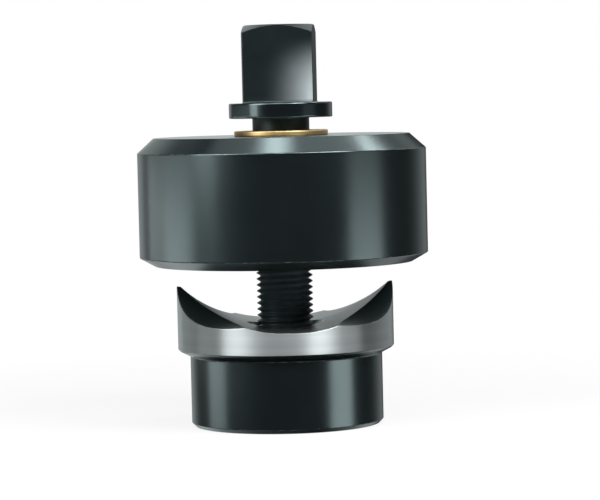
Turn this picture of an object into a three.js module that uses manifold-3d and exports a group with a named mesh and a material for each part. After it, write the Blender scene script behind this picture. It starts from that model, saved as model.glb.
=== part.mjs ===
// Draw-screw hole punch for sheet metal: a square-headed screw pulls a saddle-topped
// cutting punch up into a cup-shaped die. Millimetres, +Z up the screw's axis, with the
// origin at the centre of the punch's lower face. The punch's two tips lie on the X axis.

import * as THREE from 'three';
import { mergeVertices } from 'three/addons/utils/BufferGeometryUtils.js';
import Module from 'manifold-3d';

const wasm = await Module();
wasm.setup();

// Thread: right-hand, metric fine form, shared by the screw and the punch
const threadDiameter = 14;
const threadPitch = 1.5;
const threadCrestShare = 1 / 8;
const threadRootShare = 1 / 6;
const threadFlankAngle = THREE.MathUtils.degToRad(30);
const threadClearance = 0.3;
const threadEngagement = 4.9;

// Punch
const punchDiameter = 54;
const punchBodyDiameter = 48;
const punchBodyHeight = 17.6;
const punchShoulderHeight = 1.8;
const punchBandHeight = 5.4;
const punchBaseChamfer = 1;
const ringCornerRadius = 0.5;
const tipRise = 10.3;
const tipFlatWidth = 0.9;
const saddleFloorWidth = 3.4;
const reliefFloorRise = 1.75;
const reliefReach = 14;
const reliefStartInset = 6.4;
const reliefTurn = THREE.MathUtils.degToRad(12);
const reliefTilt = THREE.MathUtils.degToRad(5.7);
const mouthWidening = 1.4;

// Die
const cuttingClearance = 0.15;
const dieWall = 8.85;
const dieRoof = 10;
const dieCavityDepth = 21.8;
const dieLandHeight = 8;
const dieReliefStep = 0.6;
const dieTopChamferWidth = 4.1;
const dieTopChamferHeight = 3.7;
const dieBaseChamferWidth = 3.7;
const dieBaseChamferHeight = 2.1;

// Screw
const neckDiameter = 14.2;
const collarDiameter = 25.8;
const collarHeight = 3.8;
const collarEdgeRadius = 1;
const headAcrossFlats = 17.5;
const headHeight = 19.3;
const headCornerRadius = 0.8;
const headEndMargin = 0.25;
const headChamferAngle = THREE.MathUtils.degToRad(27);
const headTurn = THREE.MathUtils.degToRad(-7.6);
const screwEndChamfer = 1.2;

// Washer
const washerDiameter = 23.4;
const washerThickness = 1.3;
const washerEdgeRadius = 0.3;
const runningClearance = 0.3;

// Places at rest, and how far the screw draws the die down over the punch
const sheetGap = 5.2;
const collarGap = 3.1;
const valleyEntry = 4.1;
const threadRunout = 3;
const overrun = 2;

// Counts
const threadSteps = 20;
const roundSegments = 64;
const screwSegments = 48;
const arcSegments = 14;
const edgeSegments = 3;

// Heights that follow from the sizes above
const shoulderTop = punchBodyHeight + punchShoulderHeight;
const valleyHeight = shoulderTop + punchBandHeight;
const tipHeight = valleyHeight + tipRise;
const cutTop = tipHeight + overrun;
const dieHeight = dieRoof + dieCavityDepth;
const dieFaceHeight = tipHeight + sheetGap;
const dieTopHeight = dieFaceHeight + dieHeight;
const collarSeatHeight = dieTopHeight + washerThickness + collarGap;
const screwEndHeight = valleyHeight - threadEngagement;
const closingTravel = sheetGap + tipRise + valleyEntry;
const threadTopHeight = valleyHeight + closingTravel + threadRunout;

// Radii that follow from the sizes above
const threadDepth = threadPitch * (1 - threadCrestShare - threadRootShare) / 2 / Math.tan(threadFlankAngle);
const crestRadius = threadDiameter / 2;
const rootRadius = crestRadius - threadDepth;
const neckRadius = neckDiameter / 2;
const boreRadius = neckRadius + runningClearance;
const punchRadius = punchDiameter / 2;
const bodyRadius = punchBodyDiameter / 2;
const tipRadius = punchRadius - tipFlatWidth;
const cavityRadius = punchRadius + cuttingClearance;
const openCavityRadius = cavityRadius + dieReliefStep;
const dieRadius = cavityRadius + dieWall;

// A closed body from a geometry, as a solid that can be joined and cut
function solid(geometry) {
  const bare = geometry.clone();
  bare.deleteAttribute('normal');
  bare.deleteAttribute('uv');
  const merged = mergeVertices(bare);
  const vertProperties = new Float32Array(merged.attributes.position.array);
  const triVerts = new Uint32Array(merged.index.array);
  return new wasm.Manifold(new wasm.Mesh({ numProp: 3, vertProperties, triVerts }));
}

function geometryOf(body) {
  const mesh = body.getMesh();
  const geometry = new THREE.BufferGeometry();
  geometry.setAttribute('position', new THREE.BufferAttribute(mesh.vertProperties, 3));
  geometry.setIndex(new THREE.BufferAttribute(mesh.triVerts, 1));
  geometry.computeVertexNormals();
  return geometry;
}

// A body turned about Z from an outline of [radius, height] pairs
function turned(outline, segments) {
  const points = outline.map(([radius, height]) => new THREE.Vector2(radius, height));
  return new THREE.LatheGeometry(points, segments).rotateX(Math.PI / 2);
}

// Outline points of a quarter round, from startAngle to startAngle + a quarter turn
function quarterRound(centreRadius, centreHeight, radius, startAngle) {
  const points = [];
  for (let i = 0; i <= edgeSegments; i += 1) {
    const angle = startAngle + (Math.PI / 2) * (i / edgeSegments);
    points.push([centreRadius + radius * Math.cos(angle), centreHeight + radius * Math.sin(angle)]);
  }
  return points;
}

// A round bar with a helical thread, its first turn starting at height 0. Each column of
// vertices climbs with the angle, so that the last column joins the first one a turn up.
function threadedBar(growth, turns) {
  const halfCrest = threadPitch * threadCrestShare / 2;
  const halfRoot = threadPitch * threadRootShare / 2;
  const profile = [
    [rootRadius + growth, halfRoot],
    [crestRadius + growth, threadPitch / 2 - halfCrest],
    [crestRadius + growth, threadPitch / 2 + halfCrest],
    [rootRadius + growth, threadPitch - halfRoot],
  ];
  const rows = turns * profile.length;
  const positions = [];
  for (let row = 0; row <= rows + profile.length; row += 1) {
    const [radius, offset] = profile[row % profile.length];
    const turn = Math.floor(row / profile.length);
    for (let step = 0; step < threadSteps; step += 1) {
      const angle = 2 * Math.PI * step / threadSteps;
      const height = threadPitch * (turn + step / threadSteps) + offset;
      positions.push(radius * Math.cos(angle), radius * Math.sin(angle), height);
    }
  }
  const at = (row, step) => (step < threadSteps
    ? row * threadSteps + step
    : (row + profile.length) * threadSteps);
  const indices = [];
  for (let row = 0; row < rows; row += 1) {
    for (let step = 0; step < threadSteps; step += 1) {
      indices.push(at(row, step), at(row, step + 1), at(row + 1, step + 1));
      indices.push(at(row, step), at(row + 1, step + 1), at(row + 1, step));
    }
  }
  const bottomEdge = edgeLoop(at, 0, profile.length);
  const topEdge = edgeLoop(at, rows, profile.length);
  fanCap(positions, indices, bottomEdge, 0, false);
  fanCap(positions, indices, topEdge, threadPitch * (turns + 1), true);
  const geometry = new THREE.BufferGeometry();
  geometry.setAttribute('position', new THREE.Float32BufferAttribute(positions, 3));
  geometry.setIndex(indices);
  return geometry;
}

// The open edge of a threaded bar: once round, then down the seam to the start
function edgeLoop(at, row, profileLength) {
  const loop = [];
  for (let step = 0; step < threadSteps; step += 1) loop.push(at(row, step));
  for (let down = profileLength; down > 0; down -= 1) loop.push(at(row + down, 0));
  return loop;
}

function fanCap(positions, indices, loop, height, facesUp) {
  const centre = positions.length / 3;
  positions.push(0, 0, height);
  loop.forEach((vertex, i) => {
    const next = loop[(i + 1) % loop.length];
    if (facesUp) indices.push(centre, vertex, next);
    else indices.push(centre, next, vertex);
  });
}

// Radius of an arc that starts level and climbs by rise over run
function levelArcRadius(run, rise) {
  return (run * run + rise * rise) / (2 * rise);
}

// An outline extruded by length, its x along X, its y up Z and its depth towards -Y
function upright(outline, length) {
  const block = new THREE.ExtrudeGeometry(outline, {
    depth: length,
    bevelEnabled: false,
    curveSegments: arcSegments,
  });
  return block.rotateX(Math.PI / 2);
}

// The space over the main trough, along Y: a narrow flat floor with an arc up to each tip
function troughSpace() {
  const halfFloor = saddleFloorWidth / 2;
  const arcRadius = levelArcRadius(tipRadius - halfFloor, tipRise);
  const sweep = Math.acos(1 - (cutTop - valleyHeight) / arcRadius);
  const centre = valleyHeight + arcRadius;
  const outline = new THREE.Shape();
  outline.absarc(-halfFloor, centre, arcRadius, -Math.PI / 2 - sweep, -Math.PI / 2, false);
  outline.absarc(halfFloor, centre, arcRadius, -Math.PI / 2, -Math.PI / 2 + sweep, false);
  const length = 2 * (punchRadius + overrun);
  return upright(outline, length).translate(0, length / 2, 0);
}

// The space over one relief face, beside a tip. Its outline runs along the ring and climbs on
// an arc to the tip; it is extruded outwards, falling by the tilt, and turned to its place.
function reliefSpace(side) {
  const run = Math.PI / 2 - reliefTurn;
  const start = punchRadius - reliefStartInset;
  const inner = punchRadius - reliefReach;
  const fall = (tipRadius * Math.sin(run) - inner) * Math.tan(reliefTilt);
  const rise = tipRise - reliefFloorRise + fall;
  const arcRadius = levelArcRadius(start + tipRadius * Math.cos(run), rise);
  const sweep = Math.acos(1 - (cutTop - valleyHeight - reliefFloorRise + overrun) / arcRadius);
  const wide = punchRadius + overrun;
  const outline = new THREE.Shape();
  outline.moveTo(-wide, 0);
  outline.absarc(-start, arcRadius, arcRadius, -Math.PI / 2, -Math.PI / 2 + sweep, false);
  outline.lineTo(-wide, arcRadius * (1 - Math.cos(sweep)));
  outline.closePath();
  const length = reliefReach + wide;
  const space = upright(outline, length);
  if (side < 0) space.translate(0, length, 0);
  space.rotateX(side * reliefTilt);
  space.translate(0, -side * inner, valleyHeight + reliefFloorRise);
  return space.rotateZ(side > 0 ? run : Math.PI - run);
}

// Blank of the punch, without its saddle and its hole
function punchBlank() {
  return turned([
    [0, 0],
    [bodyRadius - punchBaseChamfer, 0],
    [bodyRadius, punchBaseChamfer],
    [bodyRadius, punchBodyHeight],
    [punchRadius - ringCornerRadius, shoulderTop - ringCornerRadius],
    [punchRadius, shoulderTop],
    [punchRadius, tipHeight],
    [0, tipHeight],
  ], roundSegments);
}

// Saddle: the main trough and, at each tip, a relief face in front and one behind
function saddleCut() {
  const cuts = [-1, 1].flatMap((side) => [
    solid(reliefSpace(side)),
    solid(reliefSpace(side).rotateZ(Math.PI)),
  ]);
  return cuts.reduce((space, cut) => space.add(cut), solid(troughSpace()));
}

// Threaded hole with a countersunk mouth in the saddle and another in the base
function punchHole() {
  const turnsBelow = Math.ceil(screwEndHeight / threadPitch) + 1;
  const turns = turnsBelow + Math.ceil((tipHeight - screwEndHeight) / threadPitch);
  const start = screwEndHeight - turnsBelow * threadPitch;
  const thread = solid(threadedBar(threadClearance, turns).translate(0, 0, start));
  const holeRadius = crestRadius + threadClearance;
  const mouthRadius = holeRadius + mouthWidening;
  const innerRadius = rootRadius + threadClearance;
  const topMouth = turned([
    [0, valleyHeight - mouthRadius + innerRadius],
    [innerRadius, valleyHeight - mouthRadius + innerRadius],
    [mouthRadius + overrun, valleyHeight + overrun],
    [0, valleyHeight + overrun],
  ], screwSegments);
  const baseMouth = turned([
    [0, -overrun],
    [holeRadius + overrun, -overrun],
    [innerRadius, holeRadius - innerRadius],
    [0, holeRadius - innerRadius],
  ], screwSegments);
  return thread.add(solid(topMouth)).add(solid(baseMouth));
}

function punchGeometry() {
  return geometryOf(solid(punchBlank()).subtract(saddleCut()).subtract(punchHole()));
}

// Cup with a plain bore in its roof; the cutting land is at the open end, heights from its face
function dieGeometry() {
  return turned([
    [cavityRadius, 0],
    [dieRadius - dieBaseChamferWidth, 0],
    [dieRadius, dieBaseChamferHeight],
    [dieRadius, dieHeight - dieTopChamferHeight],
    [dieRadius - dieTopChamferWidth, dieHeight],
    [boreRadius, dieHeight],
    [boreRadius, dieCavityDepth],
    [openCavityRadius, dieCavityDepth],
    [openCavityRadius, dieLandHeight + dieReliefStep],
    [cavityRadius, dieLandHeight],
    [cavityRadius, 0],
  ], roundSegments);
}

// Flat ring with rounded edges, heights from its lower face
function washerGeometry() {
  const outer = washerDiameter / 2 - washerEdgeRadius;
  const inner = boreRadius + washerEdgeRadius;
  const low = washerEdgeRadius;
  const high = washerThickness - washerEdgeRadius;
  const outline = [
    ...quarterRound(outer, low, washerEdgeRadius, -Math.PI / 2),
    ...quarterRound(outer, high, washerEdgeRadius, 0),
    ...quarterRound(inner, high, washerEdgeRadius, Math.PI / 2),
    ...quarterRound(inner, low, washerEdgeRadius, Math.PI),
  ];
  return turned([...outline, outline[0]], screwSegments);
}

// Collar and plain neck of the screw, heights from the collar's seat
function collarAndNeck() {
  const outer = collarDiameter / 2 - collarEdgeRadius;
  return turned([
    [0, threadTopHeight - collarSeatHeight],
    [crestRadius, threadTopHeight - collarSeatHeight],
    [neckRadius, threadTopHeight - collarSeatHeight + neckRadius - crestRadius],
    [neckRadius, 0],
    ...quarterRound(outer, collarEdgeRadius, collarEdgeRadius, -Math.PI / 2),
    ...quarterRound(outer, collarHeight - collarEdgeRadius, collarEdgeRadius, 0),
    [0, collarHeight],
  ], screwSegments);
}

// Square with rounded corners, its end turned to a shallow cone
function squareHead() {
  const half = headAcrossFlats / 2;
  const inner = half - headCornerRadius;
  const outline = new THREE.Shape();
  outline.absarc(inner, inner, headCornerRadius, 0, Math.PI / 2, false);
  outline.absarc(-inner, inner, headCornerRadius, Math.PI / 2, Math.PI, false);
  outline.absarc(-inner, -inner, headCornerRadius, Math.PI, Math.PI * 3 / 2, false);
  outline.absarc(inner, -inner, headCornerRadius, Math.PI * 3 / 2, Math.PI * 2, false);
  const block = new THREE.ExtrudeGeometry(outline, {
    depth: collarHeight / 2 + headHeight,
    bevelEnabled: false,
    curveSegments: edgeSegments,
  });
  const top = collarHeight + headHeight;
  const flatRadius = half - headEndMargin;
  const reach = headAcrossFlats;
  const envelope = turned([
    [0, 0],
    [reach, 0],
    [reach, top - (reach - flatRadius) * Math.tan(headChamferAngle)],
    [flatRadius, top],
    [0, top],
  ], screwSegments);
  const square = solid(block.rotateZ(headTurn).translate(0, 0, collarHeight / 2));
  return square.intersect(solid(envelope));
}

// Threaded shank with a chamfered end, heights from the collar's seat
function threadedShank() {
  const end = screwEndHeight - collarSeatHeight;
  const top = threadTopHeight - collarSeatHeight + neckRadius - crestRadius;
  const turns = Math.ceil((top - end) / threadPitch) + 1;
  const bar = threadedBar(0, turns).translate(0, 0, end - threadPitch);
  const envelope = turned([
    [0, end],
    [crestRadius - screwEndChamfer, end],
    [crestRadius + overrun, end + screwEndChamfer + overrun],
    [crestRadius + overrun, top],
    [0, top],
  ], screwSegments);
  return solid(bar).intersect(solid(envelope));
}

function screwGeometry() {
  return geometryOf(solid(collarAndNeck()).add(squareHead()).add(threadedShank()));
}

const blackOxide = { color: 0x15191b, roughness: 0.42, metalness: 0.55 };
const brass = { color: 0xc39a45, roughness: 0.3, metalness: 1 };
const groundSteel = { color: 0x6d7073, roughness: 0.3, metalness: 0.9 };

function piece(name, geometry, finish, height) {
  const mesh = new THREE.Mesh(geometry, new THREE.MeshStandardMaterial(finish));
  mesh.name = name;
  mesh.position.z = height;
  return mesh;
}

const holePunch = new THREE.Group();
holePunch.add(piece('punch', punchGeometry(), groundSteel, 0));
holePunch.add(piece('die', dieGeometry(), blackOxide, dieFaceHeight));
holePunch.add(piece('thrust_washer', washerGeometry(), brass, dieTopHeight));
holePunch.add(piece('draw_screw', screwGeometry(), blackOxide, collarSeatHeight));

export default holePunch;
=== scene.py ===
import math
import bmesh
import bpy
from mathutils import Matrix, Vector


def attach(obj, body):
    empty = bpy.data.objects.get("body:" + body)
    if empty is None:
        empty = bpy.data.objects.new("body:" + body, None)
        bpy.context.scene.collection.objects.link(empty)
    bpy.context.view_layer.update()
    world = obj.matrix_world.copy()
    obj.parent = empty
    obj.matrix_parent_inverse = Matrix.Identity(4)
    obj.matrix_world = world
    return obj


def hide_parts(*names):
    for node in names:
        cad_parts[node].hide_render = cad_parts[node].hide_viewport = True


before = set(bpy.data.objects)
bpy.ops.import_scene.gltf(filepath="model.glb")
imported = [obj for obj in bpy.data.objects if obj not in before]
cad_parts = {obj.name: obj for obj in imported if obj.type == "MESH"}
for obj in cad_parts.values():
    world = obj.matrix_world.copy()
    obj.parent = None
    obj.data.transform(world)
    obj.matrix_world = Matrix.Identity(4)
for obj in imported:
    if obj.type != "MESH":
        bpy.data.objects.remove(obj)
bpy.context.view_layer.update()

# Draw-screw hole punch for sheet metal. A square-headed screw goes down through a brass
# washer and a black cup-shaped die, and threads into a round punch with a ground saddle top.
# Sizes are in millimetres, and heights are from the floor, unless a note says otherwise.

mm = 0.001
weldGap = 0.002 * mm  # points that lie closer than this are merged
markHeight = 0.01 * mm  # height of tool marks and grains at a depth of 1


# Node helpers

def link(tree, value, socket):
    if isinstance(value, bpy.types.NodeSocket):
        tree.links.new(value, socket)
    else:
        socket.default_value = value


def maths(tree, operation, *values, clamp=False):
    node = tree.nodes.new("ShaderNodeMath")
    node.operation = operation
    node.use_clamp = clamp
    for value, socket in zip(values, node.inputs):
        link(tree, value, socket)
    return node.outputs[0]


def spread(tree, value, low, high, toLow=0.0, toHigh=1.0, smooth=False):
    node = tree.nodes.new("ShaderNodeMapRange")
    node.interpolation_type = "SMOOTHSTEP" if smooth else "LINEAR"
    for name, number in (("Value", value), ("From Min", low), ("From Max", high),
                         ("To Min", toLow), ("To Max", toHigh)):
        link(tree, number, node.inputs[name])
    return node.outputs[0]


def objectPlace(tree):
    place = tree.nodes.new("ShaderNodeSeparateXYZ")
    tree.links.new(tree.nodes.new("ShaderNodeTexCoord").outputs["Object"], place.inputs[0])
    x, y, z = place.outputs
    squares = maths(tree, "ADD", maths(tree, "MULTIPLY", x, x), maths(tree, "MULTIPLY", y, y))
    return x, y, z, maths(tree, "SQRT", squares)


def lineNoise(tree, along, perMetre, detail=2):
    node = tree.nodes.new("ShaderNodeTexNoise")
    node.noise_dimensions = "1D"
    link(tree, maths(tree, "MULTIPLY", along, perMetre), node.inputs["W"])
    node.inputs["Scale"].default_value = 1
    node.inputs["Detail"].default_value = detail
    return node.outputs["Fac"]


def patchNoise(tree, perMetre, detail=3):
    node = tree.nodes.new("ShaderNodeTexNoise")
    tree.links.new(tree.nodes.new("ShaderNodeTexCoord").outputs["Object"], node.inputs["Vector"])
    node.inputs["Scale"].default_value = perMetre
    node.inputs["Detail"].default_value = detail
    return node.outputs["Fac"]


def mixColours(tree, factor, first, second):
    node = tree.nodes.new("ShaderNodeMix")
    node.data_type = "RGBA"
    link(tree, factor, node.inputs[0])
    link(tree, first, node.inputs[6])
    link(tree, second, node.inputs[7])
    return node.outputs[2]


def newFinish(name):
    material = bpy.data.materials.new(name)
    material.use_nodes = True
    tree = material.node_tree
    return material, tree, tree.nodes["Principled BSDF"]


# The mesh's edge wear, broken up into specks
def edgeWear(tree, perMetre=900, specks=(0.42, 0.66)):
    attribute = tree.nodes.new("ShaderNodeAttribute")
    attribute.attribute_name = "edgeWear"
    broken = spread(tree, patchNoise(tree, perMetre, detail=4), *specks)
    return maths(tree, "MULTIPLY", attribute.outputs["Fac"], broken, clamp=True)


def bump(tree, shader, height, distance):
    node = tree.nodes.new("ShaderNodeBump")
    node.inputs["Strength"].default_value = 1
    node.inputs["Distance"].default_value = distance
    link(tree, height, node.inputs["Height"])
    tree.links.new(node.outputs[0], shader.inputs["Normal"])


# Mesh helpers

def addObject(name, data):
    piece = bpy.data.objects.new(name, data)
    bpy.context.scene.collection.objects.link(piece)
    return piece


def applyModifiers(piece):
    view = bpy.context.evaluated_depsgraph_get()
    made = bpy.data.meshes.new_from_object(piece.evaluated_get(view))
    piece.modifiers.clear()
    piece.data = made


def faceOutwards(mesh):
    build = bmesh.new()
    build.from_mesh(mesh)
    bmesh.ops.recalc_face_normals(build, faces=build.faces)
    build.to_mesh(mesh)
    build.free()


def combine(piece, other, operation):
    modifier = piece.modifiers.new(operation, "BOOLEAN")
    modifier.operation = operation
    modifier.solver = "MANIFOLD"
    modifier.object = other
    applyModifiers(piece)
    bpy.data.objects.remove(other)


def evenAngles(count):
    return [2 * math.pi * i / count for i in range(count)]


# Rounds the corners of an outline of (radius, height, round, finish) points. Each round is
# an arc with a point beside either end, and edge wear is strongest at its middle. The result
# holds (radius, height, wear, finish) points.
def roundedOutline(points, steps=4, wear=1.0, besideShare=0.6, besideLimit=0.2):
    result = []
    for i, (radius, height, size, finish) in enumerate(points):
        if size == 0:
            result.append((radius, height, 0.0, finish))
            continue
        here = Vector((radius, height))
        before = Vector(points[i - 1][:2]) - here
        after = Vector(points[(i + 1) % len(points)][:2]) - here
        half = before.angle(after) / 2
        reach = size / math.tan(half)
        back, on = before.normalized(), after.normalized()
        centre = here + (back + on).normalized() * (size / math.sin(half))
        start, end = here + back * reach - centre, here + on * reach - centre
        sweep = math.pi - 2 * half
        beside = min(reach * besideShare, besideLimit)
        lead = here + back * (reach + beside)
        result.append((lead.x, lead.y, 0.0, points[i - 1][3]))
        for k in range(steps + 1):
            share = k / steps
            spoke = (start * math.sin((1 - share) * sweep) + end * math.sin(share * sweep)) / math.sin(sweep)
            spot = centre + spoke
            worn = wear * math.sin(math.pi * share)
            result.append((spot.x, spot.y, worn, points[i - 1][3] if share < 0.5 else finish))
        trail = here + on * (reach + beside)
        result.append((trail.x, trail.y, 0.0, finish))
    return result


# Skins columns of (angle, outline), all with the same count of points. A point on the axis
# closes the skin there.
def skinColumns(name, columns, materials, closed=True):
    build = bmesh.new()
    wear = build.verts.layers.float.new("edgeWear")
    size = len(columns[0][1])
    rings = []
    for row in range(size):
        onAxis = columns[0][1][row][0] == 0
        ring = []
        for angle, outline in columns[:1] if onAxis else columns:
            radius, height, worn, _ = outline[row]
            spot = (radius * math.cos(angle) * mm, radius * math.sin(angle) * mm, height * mm)
            vertex = build.verts.new(spot)
            vertex[wear] = worn
            ring.append(vertex)
        rings.append(ring)
    for row in range(size if closed else size - 1):
        low, high = rings[row], rings[(row + 1) % size]
        for i in range(len(columns)):
            j = (i + 1) % len(columns)
            around = [low[i % len(low)], low[j % len(low)], high[j % len(high)], high[i % len(high)]]
            corners = [v for k, v in enumerate(around) if v is not around[k - 1]]
            face = build.faces.new(corners)
            face.material_index = columns[i][1][row][3]
    mesh = bpy.data.meshes.new(name)
    for material in materials:
        mesh.materials.append(material)
    build.to_mesh(mesh)
    build.free()
    return addObject(name, mesh)


# Smooth shading, kept crisp where faces meet at an angle or two finishes meet
def shade(mesh, angle=33):
    build = bmesh.new()
    build.from_mesh(mesh)
    for face in build.faces:
        face.smooth = True
    for edge in build.edges:
        if len(edge.link_faces) == 2:
            first, second = edge.link_faces
            apart = first.material_index != second.material_index
            edge.smooth = not (apart or edge.calc_face_angle(0) > math.radians(angle))
    build.to_mesh(mesh)
    build.free()


def finishPiece(piece, node):
    shade(piece.data)
    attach(piece, node)
    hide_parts(node)
    print(piece.name, len(piece.data.polygons), "faces")
    return piece


# Black oxide: blue-black, with faint turning lines, fine grains and bare steel on worn edges
oxideValues = {
    "dark": (0.0014, 0.0026, 0.003, 1),
    "light": (0.0026, 0.0044, 0.005, 1),
    "tint": (0.75, 0.98, 1, 1),
    "bareSteel": (0.2, 0.22, 0.23, 1),
    "wear": 0.5,
    "roughness": 0.24,
    "roughnessSpread": 0.03,
    "ior": 2.2,
    "linesPerMetre": 2600,
    "finePerBroad": 9,
    "lineSlant": 0.93,
    "lineDepth": 0.03,
    "grainsPerMetre": 2600,
    "grainDepth": 0.02,
    "patchScale": 85,
    "broadShare": 0.3,
}


def blackOxide(name, values):
    material, tree, shader = newFinish(name)
    _, _, z, radius = objectPlace(tree)
    outwards = maths(tree, "ADD", z, maths(tree, "MULTIPLY", radius, values["lineSlant"]))
    fine = lineNoise(tree, outwards, values["linesPerMetre"], detail=3)
    broad = lineNoise(tree, outwards, values["linesPerMetre"] / values["finePerBroad"])
    patches = patchNoise(tree, values["patchScale"])
    grains = patchNoise(tree, values["grainsPerMetre"], detail=2)
    share = values["broadShare"]
    tone = maths(tree, "ADD", maths(tree, "MULTIPLY", patches, 1 - share),
                 maths(tree, "MULTIPLY", broad, share))
    coat = mixColours(tree, tone, values["dark"], values["light"])
    worn = maths(tree, "MULTIPLY", edgeWear(tree), values["wear"])
    link(tree, mixColours(tree, worn, coat, values["bareSteel"]), shader.inputs["Base Color"])
    rough, either = values["roughness"], values["roughnessSpread"]
    link(tree, spread(tree, patches, 0, 1, rough - either, rough + either), shader.inputs["Roughness"])
    shader.inputs["IOR"].default_value = values["ior"]
    shader.inputs["Specular Tint"].default_value = values["tint"]
    height = maths(tree, "ADD", maths(tree, "MULTIPLY", fine, values["lineDepth"]),
                   maths(tree, "MULTIPLY", grains, values["grainDepth"]))
    bump(tree, shader, height, markHeight)
    return material


# Ground steel: bright, with fine grinding lines that stretch its highlights across them.
# The lines run round the axis, or from front to back.
groundValues = {
    "finePerBroad": 12,
    "toneRange": (0.3, 0.7),
    "roughnessSpread": (0.03, 0.04),
    "lineRoughness": 0.12,
    "stretchTurn": 0.25,
}


def groundSteel(name, values):
    material, tree, shader = newFinish(name)
    _, y, z, radius = objectPlace(tree)
    along = maths(tree, "ADD", z, radius) if values["around"] else y
    fine = lineNoise(tree, along, values["linesPerMetre"], detail=3)
    broad = lineNoise(tree, along, values["linesPerMetre"] / values["finePerBroad"])
    patches = patchNoise(tree, values["patchScale"])
    tone = maths(tree, "MULTIPLY", maths(tree, "ADD", broad, patches), 0.5)
    steel = mixColours(tree, spread(tree, tone, *values["toneRange"]), values["dark"], values["light"])
    worn = maths(tree, "MULTIPLY", edgeWear(tree), values["wear"])
    link(tree, mixColours(tree, worn, steel, values["edge"]), shader.inputs["Base Color"])
    shader.inputs["Metallic"].default_value = 1
    less, more = values["roughnessSpread"]
    rough = spread(tree, tone, *values["toneRange"], values["roughness"] - less, values["roughness"] + more)
    lines = maths(tree, "MULTIPLY", maths(tree, "SUBTRACT", fine, 0.5), values["lineRoughness"])
    link(tree, maths(tree, "ADD", rough, lines), shader.inputs["Roughness"])
    tangent = tree.nodes.new("ShaderNodeTangent")
    tangent.direction_type = "RADIAL"
    tangent.axis = "Z" if values["around"] else "Y"
    tree.links.new(tangent.outputs[0], shader.inputs["Tangent"])
    shader.inputs["Anisotropic"].default_value = values["stretch"]
    shader.inputs["Anisotropic Rotation"].default_value = values["stretchTurn"]
    bump(tree, shader, fine, markHeight * values["lineDepth"])
    return material


turnedBlack = blackOxide("turnedBlack", oxideValues)
ringSteel = groundSteel("ringSteel", {
    **groundValues,
    "dark": (0.54, 0.59, 0.6, 1),
    "light": (0.65, 0.7, 0.71, 1),
    "edge": (0.8, 0.81, 0.82, 1),
    "wear": 0.9,
    "roughness": 0.45,
    "stretch": 0.95,
    "around": True,
    "linesPerMetre": 6500,
    "lineDepth": 0.2,
    "patchScale": 70,
})
print("finishes of the punch and the die made")


# Thread: a helical bar whose rows follow the thread's outline, closed by a fan at each end

thread = {
    "crestRadius": 7,
    "rootRadius": 6.08,
    "pitch": 1.5,
    "crestShare": 1 / 8,
    "rootShare": 1 / 6,
    "rounding": 0.055,
    "clearance": 0.3,
    "steps": 96,
    "runout": 1.6,
    "shankTurns": 19,
    "holeTurns": 28,
    "holeTurnsBelowEnd": 15,
}


def threadOutline():
    half = thread["rounding"] / thread["pitch"]
    depth = thread["crestRadius"] - thread["rootRadius"]
    root = thread["rootShare"] / 2
    crest = 0.5 - thread["crestShare"] / 2
    flank = math.hypot((crest - root) * thread["pitch"], depth)
    along = thread["rounding"] / flank
    climb = (crest - root) * along
    rising = [(root - half, 0), (root + climb, along), (crest - climb, 1 - along), (crest + half, 1)]
    falling = [(1 - height, radius) for height, radius in reversed(rising)]
    return rising + falling


def outlineCurve(tree, factor, values):
    node = tree.nodes.new("ShaderNodeFloatCurve")
    curve = node.mapping.curves[0]
    points = [(i / len(values), value) for i, value in enumerate(values)] + [(1, values[-1])]
    for i, (x, y) in enumerate(points):
        if i < 2:  # a new curve has two points
            curve.points[i].location = (x, y)
        else:
            curve.points.new(x, y)
    for point in curve.points:
        point.handle_type = "VECTOR"
    node.mapping.update()
    link(tree, factor, node.inputs["Value"])
    return node.outputs[0]


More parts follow.
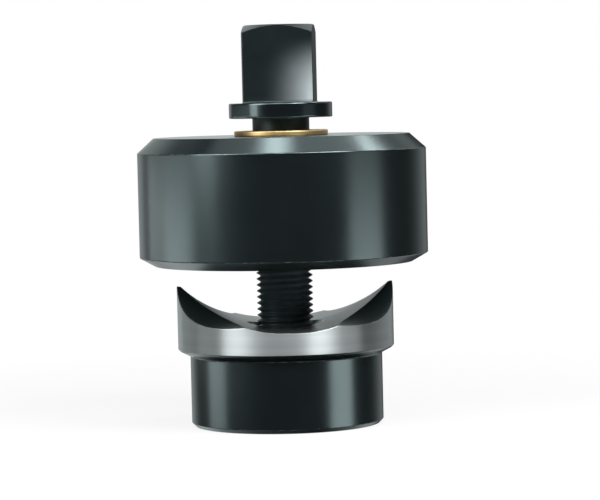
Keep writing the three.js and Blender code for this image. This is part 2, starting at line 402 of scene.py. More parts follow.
def threadTree():
    tree = bpy.data.node_groups.new("helicalThread", "GeometryNodeTree")
    for name, kind in (("Crest Radius", "NodeSocketFloat"), ("Root Radius", "NodeSocketFloat"),
                       ("Pitch", "NodeSocketFloat"), ("Turns", "NodeSocketInt"),
                       ("Steps", "NodeSocketInt"), ("Start", "NodeSocketFloat"),
                       ("Runout", "NodeSocketFloat"), ("Finish", "NodeSocketMaterial")):
        tree.interface.new_socket(name, in_out="INPUT", socket_type=kind)
    tree.interface.new_socket("Bar", in_out="OUTPUT", socket_type="NodeSocketGeometry")
    entry = tree.nodes.new("NodeGroupInput").outputs
    outline = threadOutline()
    rowsPerTurn = len(outline)

    rows = maths(tree, "MULTIPLY", entry["Turns"], rowsPerTurn)
    grid = tree.nodes.new("GeometryNodeMeshGrid")
    grid.inputs["Size X"].default_value = 1
    grid.inputs["Size Y"].default_value = 1
    link(tree, maths(tree, "ADD", entry["Steps"], 1), grid.inputs["Vertices X"])
    link(tree, maths(tree, "ADD", rows, 1), grid.inputs["Vertices Y"])

    place = tree.nodes.new("ShaderNodeSeparateXYZ")
    tree.links.new(tree.nodes.new("GeometryNodeInputPosition").outputs[0], place.inputs[0])
    around = maths(tree, "ADD", place.outputs["X"], 0.5)
    upwards = maths(tree, "ADD", place.outputs["Y"], 0.5)
    row = maths(tree, "ROUND", maths(tree, "MULTIPLY", upwards, rows))
    turn = maths(tree, "FLOOR", maths(tree, "DIVIDE", maths(tree, "ADD", row, 0.5), rowsPerTurn))
    step = maths(tree, "SUBTRACT", row, maths(tree, "MULTIPLY", turn, rowsPerTurn))
    share = maths(tree, "DIVIDE", step, rowsPerTurn)
    height = outlineCurve(tree, share, [point[0] for point in outline])
    crest = outlineCurve(tree, share, [point[1] for point in outline])

    turns = maths(tree, "ADD", maths(tree, "ADD", turn, around), height)
    climb = maths(tree, "MULTIPLY", turns, entry["Pitch"])
    top = maths(tree, "MULTIPLY", maths(tree, "ADD", entry["Turns"], 1), entry["Pitch"])
    fadeStart = maths(tree, "SUBTRACT", top, entry["Runout"])
    fade = spread(tree, climb, fadeStart, maths(tree, "ADD", top, weldGap), smooth=True)
    crest = maths(tree, "MAXIMUM", crest, fade)
    reach = maths(tree, "SUBTRACT", entry["Crest Radius"], entry["Root Radius"])
    radius = maths(tree, "MULTIPLY_ADD", reach, crest, entry["Root Radius"])
    angle = maths(tree, "MULTIPLY", around, 2 * math.pi)
    target = tree.nodes.new("ShaderNodeCombineXYZ")
    link(tree, maths(tree, "MULTIPLY", radius, maths(tree, "COSINE", angle)), target.inputs["X"])
    link(tree, maths(tree, "MULTIPLY", radius, maths(tree, "SINE", angle)), target.inputs["Y"])
    link(tree, maths(tree, "ADD", climb, entry["Start"]), target.inputs["Z"])
    wind = tree.nodes.new("GeometryNodeSetPosition")
    tree.links.new(grid.outputs["Mesh"], wind.inputs["Geometry"])
    tree.links.new(target.outputs[0], wind.inputs["Position"])
    weld = tree.nodes.new("GeometryNodeMergeByDistance")
    weld.inputs["Distance"].default_value = weldGap
    tree.links.new(wind.outputs[0], weld.inputs["Geometry"])

    # The open ends are drawn in to one point each on the axis
    neighbours = tree.nodes.new("GeometryNodeInputMeshEdgeNeighbors")
    edge = tree.nodes.new("FunctionNodeCompare")
    edge.data_type = "INT"
    edge.operation = "EQUAL"
    tree.links.new(neighbours.outputs[0], edge.inputs["A"])
    edge.inputs["B"].default_value = 1
    cap = tree.nodes.new("GeometryNodeExtrudeMesh")
    cap.mode = "EDGES"
    tree.links.new(weld.outputs[0], cap.inputs["Mesh"])
    tree.links.new(edge.outputs[0], cap.inputs["Selection"])
    cap.inputs["Offset Scale"].default_value = 0
    rim = tree.nodes.new("ShaderNodeSeparateXYZ")
    tree.links.new(tree.nodes.new("GeometryNodeInputPosition").outputs[0], rim.inputs[0])
    middle = maths(tree, "MULTIPLY_ADD", top, 0.5, entry["Start"])
    upper = maths(tree, "GREATER_THAN", rim.outputs["Z"], middle)
    centre = tree.nodes.new("ShaderNodeCombineXYZ")
    link(tree, maths(tree, "MULTIPLY_ADD", upper, top, entry["Start"]), centre.inputs["Z"])
    close = tree.nodes.new("GeometryNodeSetPosition")
    tree.links.new(cap.outputs["Mesh"], close.inputs["Geometry"])
    tree.links.new(cap.outputs["Top"], close.inputs["Selection"])
    tree.links.new(centre.outputs[0], close.inputs["Position"])
    seal = tree.nodes.new("GeometryNodeMergeByDistance")
    seal.inputs["Distance"].default_value = weldGap
    tree.links.new(close.outputs[0], seal.inputs["Geometry"])

    whole = tree.nodes.new("GeometryNodeRealizeInstances")
    tree.links.new(seal.outputs[0], whole.inputs[0])
    paint = tree.nodes.new("GeometryNodeSetMaterial")
    tree.links.new(whole.outputs[0], paint.inputs["Geometry"])
    tree.links.new(entry["Finish"], paint.inputs["Material"])
    tree.links.new(paint.outputs[0], tree.nodes.new("NodeGroupOutput").inputs[0])
    return tree


def threadedBar(tree, name, growth, turns, start, runout, finish):
    bar = addObject(name, bpy.data.meshes.new(name))
    modifier = bar.modifiers.new("thread", "NODES")
    modifier.node_group = tree
    values = {
        "Crest Radius": (thread["crestRadius"] + growth) * mm,
        "Root Radius": (thread["rootRadius"] + growth) * mm,
        "Pitch": thread["pitch"] * mm,
        "Turns": turns,
        "Steps": thread["steps"],
        "Start": start * mm,
        "Runout": runout * mm,
        "Finish": finish,
    }
    for item in tree.interface.items_tree:
        if item.in_out == "INPUT":
            modifier[item.identifier] = values[item.name]
    applyModifiers(bar)
    faceOutwards(bar.data)
    return bar


# Punch: black body, ground ring, and a saddle with a relief face each side of either tip

punch = {
    "ringRadius": 27,
    "bodyRadius": 24,
    "bodyTop": 17.6,
    "ringBottom": 19.4,
    "ringCorner": 0.5,
    "baseChamfer": 1,
    "valley": 24.8,
    "tipRise": 10.3,
    "tipReach": 26.1,
    "floorWidth": 3.4,
    "reliefFloor": 1.75,
    "reliefInner": 13,
    "reliefStart": 20.6,
    "reliefRun": 78,
    "reliefTilt": 5.7,
    "mouthRadius": 8.7,
    "coneShares": (0.66, 0.33, 0),
    "holeCore": 6,
    "holeEdge": 7.3,
    "cuttingEdge": 0.16,
    "bevelShare": 0.3,
    "holeRound": 0.1,
    "baseRound": 0.2,
    "stepRound": 0.3,
    "cornerRound": 0.25,
    "ringRound": 0.3,
    "edgeBand": 0.15,
    "creaseGap": 0.2,
    "mouthBand": 0.12,
    "mouthRim": 0.1,
    "mouthDrop": 0.03,
    "mouthWear": 0.6,
    "mouthSteps": 12,
    "columns": 480,
    "saddleRows": 26,
    "reliefRows": 12,
}

# The saddle's steel is darker than the ring's: painted shade, standing in for the dimmer light that the
# saddle reflects under the die
saddleSteel = groundSteel("saddleSteel", {
    **groundValues,
    "dark": (0.19, 0.207, 0.21, 1),
    "light": (0.24, 0.257, 0.26, 1),
    "edge": (0.75, 0.76, 0.77, 1),
    "wear": 0.8,
    "roughness": 0.28,
    "stretch": 0.85,
    "around": False,
    "linesPerMetre": 5200,
    "lineDepth": 0.12,
    "patchScale": 90,
})
reliefBlack = blackOxide("reliefBlack", {
    **oxideValues,
    "roughness": 0.42,
    "lineDepth": 0.05,
    "grainDepth": 0.3,
    "patchScale": 140,
})


def troughRise(x):
    run = max(abs(x) - punch["floorWidth"] / 2, 0)
    reach = punch["tipReach"] - punch["floorWidth"] / 2
    arc = (reach ** 2 + punch["tipRise"] ** 2) / (2 * punch["tipRise"])
    return arc - math.sqrt(max(arc ** 2 - run ** 2, 0))


# Height of the relief face above the valley. It is endless inside the face's inner end, so that
# the trough is always the lower of the two there.
def reliefRise(x, y):
    run, tilt = math.radians(punch["reliefRun"]), math.radians(punch["reliefTilt"])
    along = abs(x) * math.cos(run) - abs(y) * math.sin(run)
    out = abs(x) * math.sin(run) + abs(y) * math.cos(run)
    if out <= punch["reliefInner"]:
        return math.inf
    fall = (punch["tipReach"] * math.sin(run) - punch["reliefInner"]) * math.tan(tilt)
    rise = punch["tipRise"] - punch["reliefFloor"] + fall
    start = punch["reliefStart"]
    arc = ((start + punch["tipReach"] * math.cos(run)) ** 2 + rise ** 2) / (2 * rise)
    climb = arc - math.sqrt(max(arc ** 2 - max(along + start, 0) ** 2, 0))
    return punch["reliefFloor"] + climb / math.cos(tilt) - (out - punch["reliefInner"]) * math.tan(tilt)


def saddleTop(radius, angle):
    x, y = radius * math.cos(angle), radius * math.sin(angle)
    return punch["valley"] + min(troughRise(x), reliefRise(x, y), punch["tipRise"])


# Radius at which the trough gives way to the relief face, or the ring's edge without one
def creaseRadius(angle, limit, halvings=40):
    def over(radius):
        x, y = radius * math.cos(angle), radius * math.sin(angle)
        return min(troughRise(x), punch["tipRise"]) - reliefRise(x, y)
    if over(limit) <= 0:
        return limit, False
    low, high = punch["reliefInner"], limit
    for _ in range(halvings):
        middle = (low + high) / 2
        if over(middle) > 0:
            high = middle
        else:
            low = middle
    return high, True


# Outline of the punch at one angle, from the hole's lower mouth out, up and back in to its core
def punchColumn(angle):
    body, ground, saddle, relief = range(4)
    ring, edge = punch["ringRadius"], punch["cuttingEdge"]
    rim = saddleTop(ring, angle)
    outline = roundedOutline([
        (punch["holeCore"], punch["holeEdge"] - punch["holeCore"], 0, body),
        (punch["holeEdge"], 0, punch["holeRound"], body),
        (punch["bodyRadius"] - punch["baseChamfer"], 0, punch["baseRound"], body),
        (punch["bodyRadius"], punch["baseChamfer"], punch["baseRound"], body),
        (punch["bodyRadius"], punch["bodyTop"], punch["stepRound"], body),
        (ring - punch["ringCorner"], punch["ringBottom"] - punch["ringCorner"], punch["cornerRound"], body),
        (ring, punch["ringBottom"], punch["ringRound"], ground),
        (ring, rim - edge - punch["edgeBand"], 0, ground),
        (ring, rim - edge, 0, ground),
    ])
    crease, creased = creaseRadius(angle, ring - edge - punch["creaseGap"])
    outer = relief if creased else saddle
    bevel = ring - edge * punch["bevelShare"]
    outline.append((bevel, saddleTop(bevel, angle) - edge * punch["bevelShare"], 1.0, outer))
    outline.append((ring - edge, saddleTop(ring - edge, angle), 0.0, outer))
    for i in range(1, punch["reliefRows"] + 1):
        radius = ring - edge + (crease - ring + edge) * i / punch["reliefRows"]
        last = i == punch["reliefRows"]
        outline.append((radius, saddleTop(radius, angle), 0.0, saddle if last else outer))
    mouth = punch["mouthRadius"]
    for _ in range(punch["mouthSteps"]):
        mouth = punch["mouthRadius"] + troughRise(mouth * math.cos(angle))
    inner = mouth + punch["mouthBand"]
    for i in range(1, punch["saddleRows"] + 1):
        radius = crease + (inner - crease) * i / punch["saddleRows"]
        outline.append((radius, saddleTop(radius, angle), 0.0, saddle))
    valley, core = punch["valley"], punch["holeCore"]
    outline.append((mouth, saddleTop(mouth, angle) - punch["mouthDrop"], punch["mouthWear"], body))
    cone = [core + (mouth - core) * share for share in punch["coneShares"]]
    for radius in [mouth - punch["mouthRim"]] + cone:
        outline.append((radius, valley + radius - punch["mouthRadius"], 0.0, body))
    outline.append((core, valley / 2, 0.0, body))
    return outline


def makePunch(tree):
    columns = [(angle, punchColumn(angle)) for angle in evenAngles(punch["columns"])]
    piece = skinColumns("cuttingPunch", columns, (turnedBlack, ringSteel, saddleSteel, reliefBlack))
    start = screw["end"] - thread["holeTurnsBelowEnd"] * thread["pitch"]
    space = threadedBar(tree, "holeThread", thread["clearance"], thread["holeTurns"], start, 0, turnedBlack)
    combine(piece, space, "DIFFERENCE")
    return finishPiece(piece, "punch")


# Die: cup with a chamfered rim at each end and a ground cutting face

die = {
    "face": 40.3,
    "height": 31.8,
    "radius": 36,
    "cavityRadius": 27.15,
    "openRadius": 27.75,
    "landHeight": 8,
    "landTaper": 0.6,
    "cavityDepth": 21.8,
    "boreRadius": 7.4,
    "topChamfer": (4.1, 3.7),
    "baseChamfer": (3.7, 2.1),
    "cuttingRound": 0.06,
    "landRound": 0.1,
    "faceRound": 0.2,
    "rimRound": 0.3,
    "boreRound": 0.35,
    "cavityRound": 0.9,
    "columns": 288,
}


def makeDie():
    black, ground = range(2)
    face, top = die["face"], die["face"] + die["height"]
    rim = die["rimRound"]
    outline = roundedOutline([
        (die["cavityRadius"], face, die["cuttingRound"], ground),
        (die["radius"] - die["baseChamfer"][0], face, die["faceRound"], black),
        (die["radius"], face + die["baseChamfer"][1], rim, black),
        (die["radius"], top - die["topChamfer"][1], rim, black),
        (die["radius"] - die["topChamfer"][0], top, rim, black),
        (die["boreRadius"], top, die["boreRound"], black),
        (die["boreRadius"], face + die["cavityDepth"], rim, black),
        (die["openRadius"], face + die["cavityDepth"], die["cavityRound"], black),
        (die["openRadius"], face + die["landHeight"] + die["landTaper"], 0, black),
        (die["cavityRadius"], face + die["landHeight"], die["landRound"], ground),
    ])
    columns = [(angle, outline) for angle in evenAngles(die["columns"])]
    return finishPiece(skinColumns("dieCup", columns, (turnedBlack, ringSteel)), "die")


# Washer: thin turned ring that takes the collar's thrust

washer = {
    "seat": 72.1,
    "thickness": 1.3,
    "innerRadius": 7.4,
    "outerRadius": 11.7,
    "edge": 0.3,
    "columns": 192,
}


def turnedBrass(name, values):
    material, tree, shader = newFinish(name)
    _, _, z, radius = objectPlace(tree)
    fine = lineNoise(tree, maths(tree, "ADD", z, radius), values["linesPerMetre"], detail=3)
    patches = patchNoise(tree, values["patchScale"], detail=4)
    colour = mixColours(tree, spread(tree, patches, *values["dullRange"]), values["light"], values["dull"])
    link(tree, mixColours(tree, edgeWear(tree), colour, values["edge"]), shader.inputs["Base Color"])
    shader.inputs["Metallic"].default_value = 1
    less, more = values["roughnessSpread"]
    rough = spread(tree, patches, *values["roughRange"], values["roughness"] - less,
                   values["roughness"] + more)
    lines = maths(tree, "MULTIPLY", fine, values["lineRoughness"])
    link(tree, maths(tree, "ADD", rough, lines), shader.inputs["Roughness"])
    bump(tree, shader, fine, markHeight * values["lineDepth"])
    return material


washerBrass = turnedBrass("washerBrass", {
    "light": (0.86, 0.65, 0.33, 1),
    "dull": (0.62, 0.41, 0.16, 1),
    "dullRange": (0.35, 0.7),
    "edge": (0.95, 0.76, 0.45, 1),
    "roughness": 0.36,
    "roughRange": (0.3, 0.7),
    "roughnessSpread": (0.05, 0.08),
    "lineRoughness": 0.06,
    "linesPerMetre": 5200,
    "lineDepth": 0.15,
    "patchScale": 240,
})


def makeWasher():
    seat, top = washer["seat"], washer["seat"] + washer["thickness"]
    outline = roundedOutline([
        (washer["innerRadius"], seat, washer["edge"], 0),
        (washer["outerRadius"], seat, washer["edge"], 0),
        (washer["outerRadius"], top, washer["edge"], 0),
        (washer["innerRadius"], top, washer["edge"], 0),
    ])
    columns = [(angle, outline) for angle in evenAngles(washer["columns"])]
    return finishPiece(skinColumns("brassWasher", columns, (washerBrass,)), "thrust_washer")


# Screw: square head, collar and neck skinned in one, then joined to the threaded shank

screw = {
    "collarSeat": 76.5,
    "collarTop": 80.3,
    "collarRadius": 12.9,
    "collarEdge": 0.35,
    "collarWear": 0.15,
    "ledgeGap": 0.25,
    "tongueRadius": 5.8,
    "tongueBottom": 46.5,
    "neckRadius": 7.1,
    "neckBottom": 47.8,
    "neckRound": 0.1,
    "seatRound": 0.25,
    "headTop": 99.6,
    "acrossFlats": 17.5,
    "headCorner": 0.4,
    "headFlatRadius": 8.5,
    "headChamfer": 27,
    "headTurn": -7.6,
    "headFillet": 0.45,
    "filletSteps": 5,
    "footBand": 2,
    "browBand": 0.5,
    "browRound": 0.12,
    "crownBand": 2,
    "crownRound": 0.1,
    "flatColumns": 40,
    "cornerColumns": 9,
    "end": 19.9,
    "endChamfer": 1.2,
    "barTop": 60,
    "endColumns": 96,
}

forgedBlack = blackOxide("forgedBlack", {
    **oxideValues,
    "roughness": 0.31,
    "ior": 1.8,
    "lineDepth": 0.05,
    "grainDepth": 0.4,
    "patchScale": 160,
})
collarBlack = blackOxide("collarBlack", {
    **oxideValues,
    "roughness": 0.19,
    "patchScale": 160,
})
shankValues = {
    **oxideValues,
    "dark": (0.009, 0.0135, 0.0145, 1),
    "light": (0.012, 0.018, 0.019, 1),
    "roughness": 0.42,
    "ior": 1.5,
    "patchScale": 160,
}
shankBlack = blackOxide("shankBlack", shankValues)
# The thread's black is lighter than the shank's: painted light that makes up for the die's shadow over the
# thread
threadBlackPaintedLight = blackOxide("threadBlackPaintedLight", {
    **shankValues,
    "dark": (0.026, 0.038, 0.041, 1),
    "light": (0.034, 0.049, 0.053, 1),
})


# Paints a soft highlight on the head's front and back flats: bare, rougher steel that grows towards one
# lower corner of each flat and catches the front lamps there. Sideways is from the flat's middle, and
# downwards from the head's top.
def paintedHighlightFlats(material, values):
    tree = material.node_tree
    shader = tree.nodes["Principled BSDF"]
    x, y, z, _ = objectPlace(tree)
    turn = math.radians(screw["headTurn"])
    right = maths(tree, "ADD", maths(tree, "MULTIPLY", x, math.cos(turn)),
                  maths(tree, "MULTIPLY", y, math.sin(turn)))
    back = maths(tree, "SUBTRACT", maths(tree, "MULTIPLY", y, math.cos(turn)),
                 maths(tree, "MULTIPLY", x, math.sin(turn)))
    onFlat = maths(tree, "GREATER_THAN", maths(tree, "ABSOLUTE", back), maths(tree, "ABSOLUTE", right))
    along = maths(tree, "MULTIPLY", right, maths(tree, "MULTIPLY", maths(tree, "SIGN", back), -1))
    patches = maths(tree, "SUBTRACT", patchNoise(tree, values["patchScale"]), 0.5)
    along = maths(tree, "ADD", along, maths(tree, "MULTIPLY", patches, values["wander"] * mm))
    sideways = spread(tree, along, *(end * mm for end in values["sideways"]))
    fall = maths(tree, "SUBTRACT", screw["headTop"] * mm, z)
    downwards = spread(tree, fall, *(end * mm for end in values["downwards"]), smooth=True)
    foot = spread(tree, z, screw["collarTop"] * mm, (screw["collarTop"] + values["foot"]) * mm)
    # mask of the painted highlight, strongest at one lower corner of each flat
    paintedHighlight = maths(tree, "MULTIPLY", maths(tree, "POWER", sideways, values["sidewaysPower"]), downwards)
    paintedHighlight = maths(tree, "POWER", paintedHighlight, values["power"])
    paintedHighlight = maths(tree, "MULTIPLY", paintedHighlight, maths(tree, "MULTIPLY", foot, onFlat))
    coat = shader.inputs["Base Color"].links[0].from_socket
    link(tree, mixColours(tree, paintedHighlight, coat, values["steel"]), shader.inputs["Base Color"])
    rough = shader.inputs["Roughness"].links[0].from_socket
    link(tree, spread(tree, paintedHighlight, 0, 1, rough, values["roughness"]), shader.inputs["Roughness"])
    link(tree, paintedHighlight, shader.inputs["Metallic"])


# painted highlight on the head's front and back flats
paintedHighlightFlats(forgedBlack, {
    "sideways": (-7, 8),
    "sidewaysPower": 2.5,
    "downwards": (2, 17),
    "power": 1.5,
    "foot": 0.8,
    "wander": 1.5,
    "patchScale": 140,
    "steel": (0.66, 0.74, 0.76, 1),
    "roughness": 0.54,
})
print("finishes of the washer and the screw made")


# Angles and radii round the square head, with more columns on its corners
def headOutline():
    half, corner = screw["acrossFlats"] / 2, screw["headCorner"]
    inner = half - corner
    edge = math.atan2(inner, half)
    spots = []
    for quarter in range(4):
        turn = quarter * math.pi / 2
        for i in range(screw["flatColumns"]):
            angle = -edge + 2 * edge * i / screw["flatColumns"]
            spots.append((turn + angle, half / math.cos(angle)))
        for i in range(screw["cornerColumns"]):
            bend = math.pi / 2 * i / screw["cornerColumns"]
            x, y = inner + corner * math.cos(bend), inner + corner * math.sin(bend)
            spots.append((turn + math.atan2(y, x), math.hypot(x, y)))
    return [(angle + math.radians(screw["headTurn"]), reach) for angle, reach in spots]


# Outline of the screw above its shank, where the head's face lies at this reach from the axis
def screwColumn(reach):
    shank, head, collar = range(3)
    bottom, neck = screw["tongueBottom"], screw["neckRadius"]
    seat, ledge = screw["collarSeat"], screw["collarTop"]
    outer, edge = screw["collarRadius"], screw["collarEdge"]
    foot = min(reach + screw["headFillet"], outer - edge - screw["ledgeGap"])
    outline = [(0, bottom, 0.0, shank)]
    outline += roundedOutline([
        (screw["tongueRadius"], bottom, 0, shank),
        (neck, screw["neckBottom"], screw["neckRound"], shank),
        (neck, seat, screw["seatRound"], collar),
        (outer, seat, edge, collar),
        (outer, ledge, edge, collar),
        ((outer - edge + foot) / 2, ledge, 0, head),
    ], wear=screw["collarWear"])
    for i in range(screw["filletSteps"] + 1):
        bend = math.pi / 2 * i / screw["filletSteps"]
        radius = reach + (foot - reach) * (1 - math.sin(bend))
        outline.append((radius, ledge + screw["headFillet"] * (1 - math.cos(bend)), 0.0, head))
    slope = math.radians(screw["headChamfer"])
    flat, top = screw["headFlatRadius"], screw["headTop"]
    brow = top - (reach - flat) * math.tan(slope)
    outline.append((reach, ledge + screw["footBand"], 0.0, head))
    outline += roundedOutline([
        (reach, brow - screw["browBand"], 0, head),
        (reach, brow, screw["browRound"], head),
        (flat, top, screw["crownRound"], head),
        (flat - screw["crownBand"], top, 0, head),
    ])
    outline.append((0, top, 0.0, head))
    return outline


def makeScrew(tree):
    columns = [(angle, screwColumn(reach)) for angle, reach in headOutline()]
    finishes = (shankBlack, forgedBlack, collarBlack, threadBlackPaintedLight)
    piece = skinColumns("drawScrew", columns, finishes, closed=False)
    end, crest, past = screw["end"], thread["crestRadius"], 1
    start, turns = end - thread["pitch"], thread["shankTurns"]
    bar = threadedBar(tree, "shankThread", 0, turns, start, thread["runout"], threadBlackPaintedLight)
    outline = [
        (0, end, 0.0, 0),
        (crest - screw["endChamfer"], end, 0.0, 0),
        (crest + past, end + screw["endChamfer"] + past, 0.0, 0),
        (crest + past, screw["barTop"], 0.0, 0),
        (0, screw["barTop"], 0.0, 0),
    ]
    columns = [(angle, outline) for angle in evenAngles(screw["endColumns"])]
    envelope = skinColumns("endCone", columns, (threadBlackPaintedLight,), closed=False)
    combine(bar, envelope, "INTERSECT")
    combine(piece, bar, "UNION")
    return finishPiece(piece, "draw_screw")


helicalThread = threadTree()
makePunch(helicalThread)
makeDie()
makeWasher()
makeScrew(helicalThread)
print("pieces made")


# Floor, backdrop light and softboxes. Azimuths are from the camera's side, to the right. In the
# backdrop, across, high and behind are the parts of a direction, each from -1 to 1, and each pair
# is where a light ends and where it is full.

studio = {
    "cameraDistance": 700,
    "cameraHeight": 81.93,
    "cameraTurn": -3.6,
    "pan": -0.33,
    "pitch": 3.153,
    "roll": -1.358,
    "lens": 168.3,
    "sensorWidth": 36,
    "clipStart": 10,
    "floorRadius": 300,
    "floorSegments": 128,
    "floorDrop": 0.05,
    "floorColour": (0.8, 0.81, 0.81, 1),
    "floorGlow": 1.03,
    "floorFade": (105, 285),
    "floorShare": 0.8,
    "fill": 0.035,
    "fillColour": (0.95, 1, 1, 1),
    "strip": {"middle": -0.06, "lean": 0.4, "sides": (0.17, 0.03), "high": (0.82, 0.64), "level": 0.87},
    "wide": {"middle": 0.055, "sides": (0.85, 0.49), "high": (0.72, 0.42)},
    "wideFade": {"across": (-0.6, 0.6), "levels": (0.55, 0.3)},
    "darkCard": {"middle": 0.18, "sides": (0.1, 0.19)},
    "behind": (0.1, 0.5),
    "softboxDistance": 600,
    "softboxAim": 45,
    "softboxes": {
        "leftBox": {"around": -101, "up": -2, "spanAround": 59, "spanUp": 6, "level": 1.27},
        "leftEdge": {"around": -61, "up": 3.9, "spanAround": 18, "spanUp": 2.2, "level": 5.5},
        "leftLow": {"around": -91, "up": -7, "spanAround": 27, "spanUp": 8, "level": 1.6},
        "rightBox": {"around": 67, "up": -9, "spanAround": 30, "spanUp": 14, "level": 2.1},
        "topBox": {"around": -150, "up": 86, "spanAround": 10, "spanUp": 10, "level": 7.5},
        "topFadeLeft": {"around": -120, "up": 71, "spanAround": 16, "spanUp": 20, "level": 0.5},
        "topFadeRight": {"around": 120, "up": 70, "spanAround": 16, "spanUp": 24, "level": 0.8},
        "rearTop": {"around": 118, "up": 50, "spanAround": 12, "spanUp": 12, "level": 9},
        "frontLeft": {"around": -57, "up": 30, "spanAround": 30, "spanUp": 44, "level": 4.4},
        "frontRight": {"around": 45, "up": 42, "spanAround": 24, "spanUp": 30, "level": 10},
        "frontTop": {"around": -4, "up": 40, "spanAround": 64, "spanUp": 20, "level": 4.2},
        "rightFill": {"around": 110, "up": 25, "spanAround": 50, "spanUp": 20, "level": 0.5},
        "lowRear": {"around": 180, "up": -40, "spanAround": 100, "spanUp": 26, "level": 0.45},
    },
}


def makeCamera():
    camera = addObject("camera", bpy.data.cameras.new("camera"))
    turn = Matrix.Rotation(math.radians(studio["cameraTurn"]), 4, "Z")
    place = Vector((0, -studio["cameraDistance"], studio["cameraHeight"])) * mm
    pan = Matrix.Rotation(math.radians(studio["pan"]), 4, "Z")
    tilt = Matrix.Rotation(math.radians(90 - studio["pitch"]), 4, "X")
    roll = Matrix.Rotation(math.radians(studio["roll"]), 4, "Z")
    camera.matrix_world = turn @ Matrix.Translation(place) @ pan @ tilt @ roll
    camera.data.lens = studio["lens"]
    camera.data.sensor_width = studio["sensorWidth"]
    camera.data.clip_start = studio["clipStart"] * mm
    bpy.context.scene.camera = camera


def makeSoftbox(name, values):
    distance = studio["softboxDistance"] * mm
    around = math.radians(values["around"] + studio["cameraTurn"])
    up = math.radians(values["up"])
    width, height = (2 * distance * math.tan(math.radians(values[side]) / 2)
                     for side in ("spanAround", "spanUp"))
    lamp = bpy.data.lights.new(name, "AREA")
    lamp.shape = "RECTANGLE"
    lamp.size, lamp.size_y = width, height
    lamp.energy = values["level"] * math.pi * width * height
    box = addObject(name, lamp)
    out = Vector((math.sin(around) * math.cos(up), -math.cos(around) * math.cos(up), math.sin(up)))
    box.location = Vector((0, 0, studio["softboxAim"])) * mm + out * distance
    box.rotation_euler = (-out).to_track_quat("-Z", "Y").to_euler()
    box.visible_camera = False


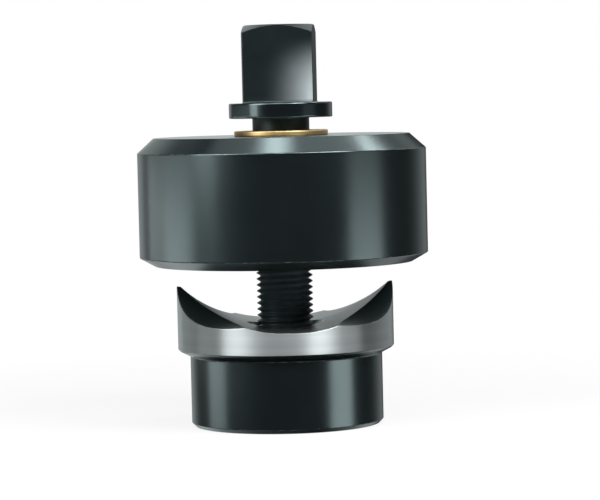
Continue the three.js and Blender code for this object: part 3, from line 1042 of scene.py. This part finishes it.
def makeWorld():
    world = bpy.data.worlds.new("studio")
    bpy.context.scene.world = world
    world.use_nodes = True
    world.cycles.sampling_method = "NONE"
    tree = world.node_tree
    tree.nodes.clear()
    place = tree.nodes.new("ShaderNodeSeparateXYZ")
    tree.links.new(tree.nodes.new("ShaderNodeTexCoord").outputs["Generated"], place.inputs[0])
    x, y, high = place.outputs
    turn = math.radians(studio["cameraTurn"])
    behind = maths(tree, "SUBTRACT", maths(tree, "MULTIPLY", y, math.cos(turn)),
                   maths(tree, "MULTIPLY", x, math.sin(turn)))
    across = maths(tree, "ADD", maths(tree, "MULTIPLY", x, math.cos(turn)),
                   maths(tree, "MULTIPLY", y, math.sin(turn)))

    def fromMiddle(values):
        return maths(tree, "ABSOLUTE", maths(tree, "SUBTRACT", across, values["middle"]))

    stripValues, wideValues, cardValues = studio["strip"], studio["wide"], studio["darkCard"]
    lean = maths(tree, "MULTIPLY", maths(tree, "MAXIMUM", high, 0), stripValues["lean"])
    aside = maths(tree, "SUBTRACT", fromMiddle(stripValues), lean)
    strip = maths(tree, "MULTIPLY", spread(tree, aside, *stripValues["sides"], smooth=True),
                  spread(tree, high, *stripValues["high"], 0, stripValues["level"], smooth=True))
    fade = studio["wideFade"]
    wide = maths(tree, "MULTIPLY", spread(tree, fromMiddle(wideValues), *wideValues["sides"], smooth=True),
                 spread(tree, across, *fade["across"], *fade["levels"]))
    wide = maths(tree, "MULTIPLY", wide, spread(tree, high, *wideValues["high"], smooth=True))
    card = spread(tree, fromMiddle(cardValues), *cardValues["sides"], smooth=True)
    wide = maths(tree, "MULTIPLY", wide, card)
    backdrop = maths(tree, "MULTIPLY", maths(tree, "MAXIMUM", strip, wide),
                     spread(tree, behind, *studio["behind"], smooth=True))
    rays = tree.nodes.new("ShaderNodeLightPath").outputs
    mirrored = maths(tree, "ADD", rays["Is Glossy Ray"], rays["Is Transmission Ray"], clamp=True)
    soft = tree.nodes.new("ShaderNodeBackground")
    soft.inputs["Color"].default_value = studio["fillColour"]
    link(tree, maths(tree, "MULTIPLY_ADD", backdrop, mirrored, studio["fill"]), soft.inputs["Strength"])
    white = tree.nodes.new("ShaderNodeBackground")
    white.inputs["Color"].default_value = (1, 1, 1, 1)
    mix = tree.nodes.new("ShaderNodeMixShader")
    tree.links.new(rays["Is Camera Ray"], mix.inputs[0])
    tree.links.new(soft.outputs[0], mix.inputs[1])
    tree.links.new(white.outputs[0], mix.inputs[2])
    tree.links.new(mix.outputs[0], tree.nodes.new("ShaderNodeOutputWorld").inputs[0])


def makeFloor():
    build = bmesh.new()
    bmesh.ops.create_circle(build, cap_ends=True, segments=studio["floorSegments"],
                            radius=studio["floorRadius"] * mm)
    bmesh.ops.translate(build, verts=build.verts, vec=(0, 0, -studio["floorDrop"] * mm))
    mesh = bpy.data.meshes.new("floor")
    build.to_mesh(mesh)
    build.free()
    floor = addObject("floor", mesh)
    material = bpy.data.materials.new("paleFloor")
    material.use_nodes = True
    tree = material.node_tree
    tree.nodes.clear()
    _, _, _, radius = objectPlace(tree)
    paper = tree.nodes.new("ShaderNodeBsdfDiffuse")
    paper.inputs["Color"].default_value = studio["floorColour"]
    glow = tree.nodes.new("ShaderNodeEmission")
    glow.inputs["Strength"].default_value = studio["floorGlow"]
    near, far = (reach * mm for reach in studio["floorFade"])
    edge = spread(tree, radius, near, far, studio["floorShare"], 1, smooth=True)
    seen = maths(tree, "MULTIPLY", tree.nodes.new("ShaderNodeLightPath").outputs["Is Camera Ray"], edge)
    mix = tree.nodes.new("ShaderNodeMixShader")
    link(tree, seen, mix.inputs[0])
    tree.links.new(paper.outputs[0], mix.inputs[1])
    tree.links.new(glow.outputs[0], mix.inputs[2])
    fromBelow = tree.nodes.new("ShaderNodeMixShader")
    tree.links.new(tree.nodes.new("ShaderNodeNewGeometry").outputs["Backfacing"], fromBelow.inputs[0])
    tree.links.new(mix.outputs[0], fromBelow.inputs[1])
    tree.links.new(tree.nodes.new("ShaderNodeBsdfTransparent").outputs[0], fromBelow.inputs[2])
    tree.links.new(fromBelow.outputs[0], tree.nodes.new("ShaderNodeOutputMaterial").inputs[0])
    mesh.materials.append(material)
    floor.visible_glossy = False  # the real ground doesn't mirror in the black finish
    floor.visible_shadow = False


makeCamera()
makeWorld()
makeFloor()
for boxName, boxValues in studio["softboxes"].items():
    makeSoftbox(boxName, boxValues)
bpy.context.scene.view_settings.view_transform = "Standard"
print("studio made")
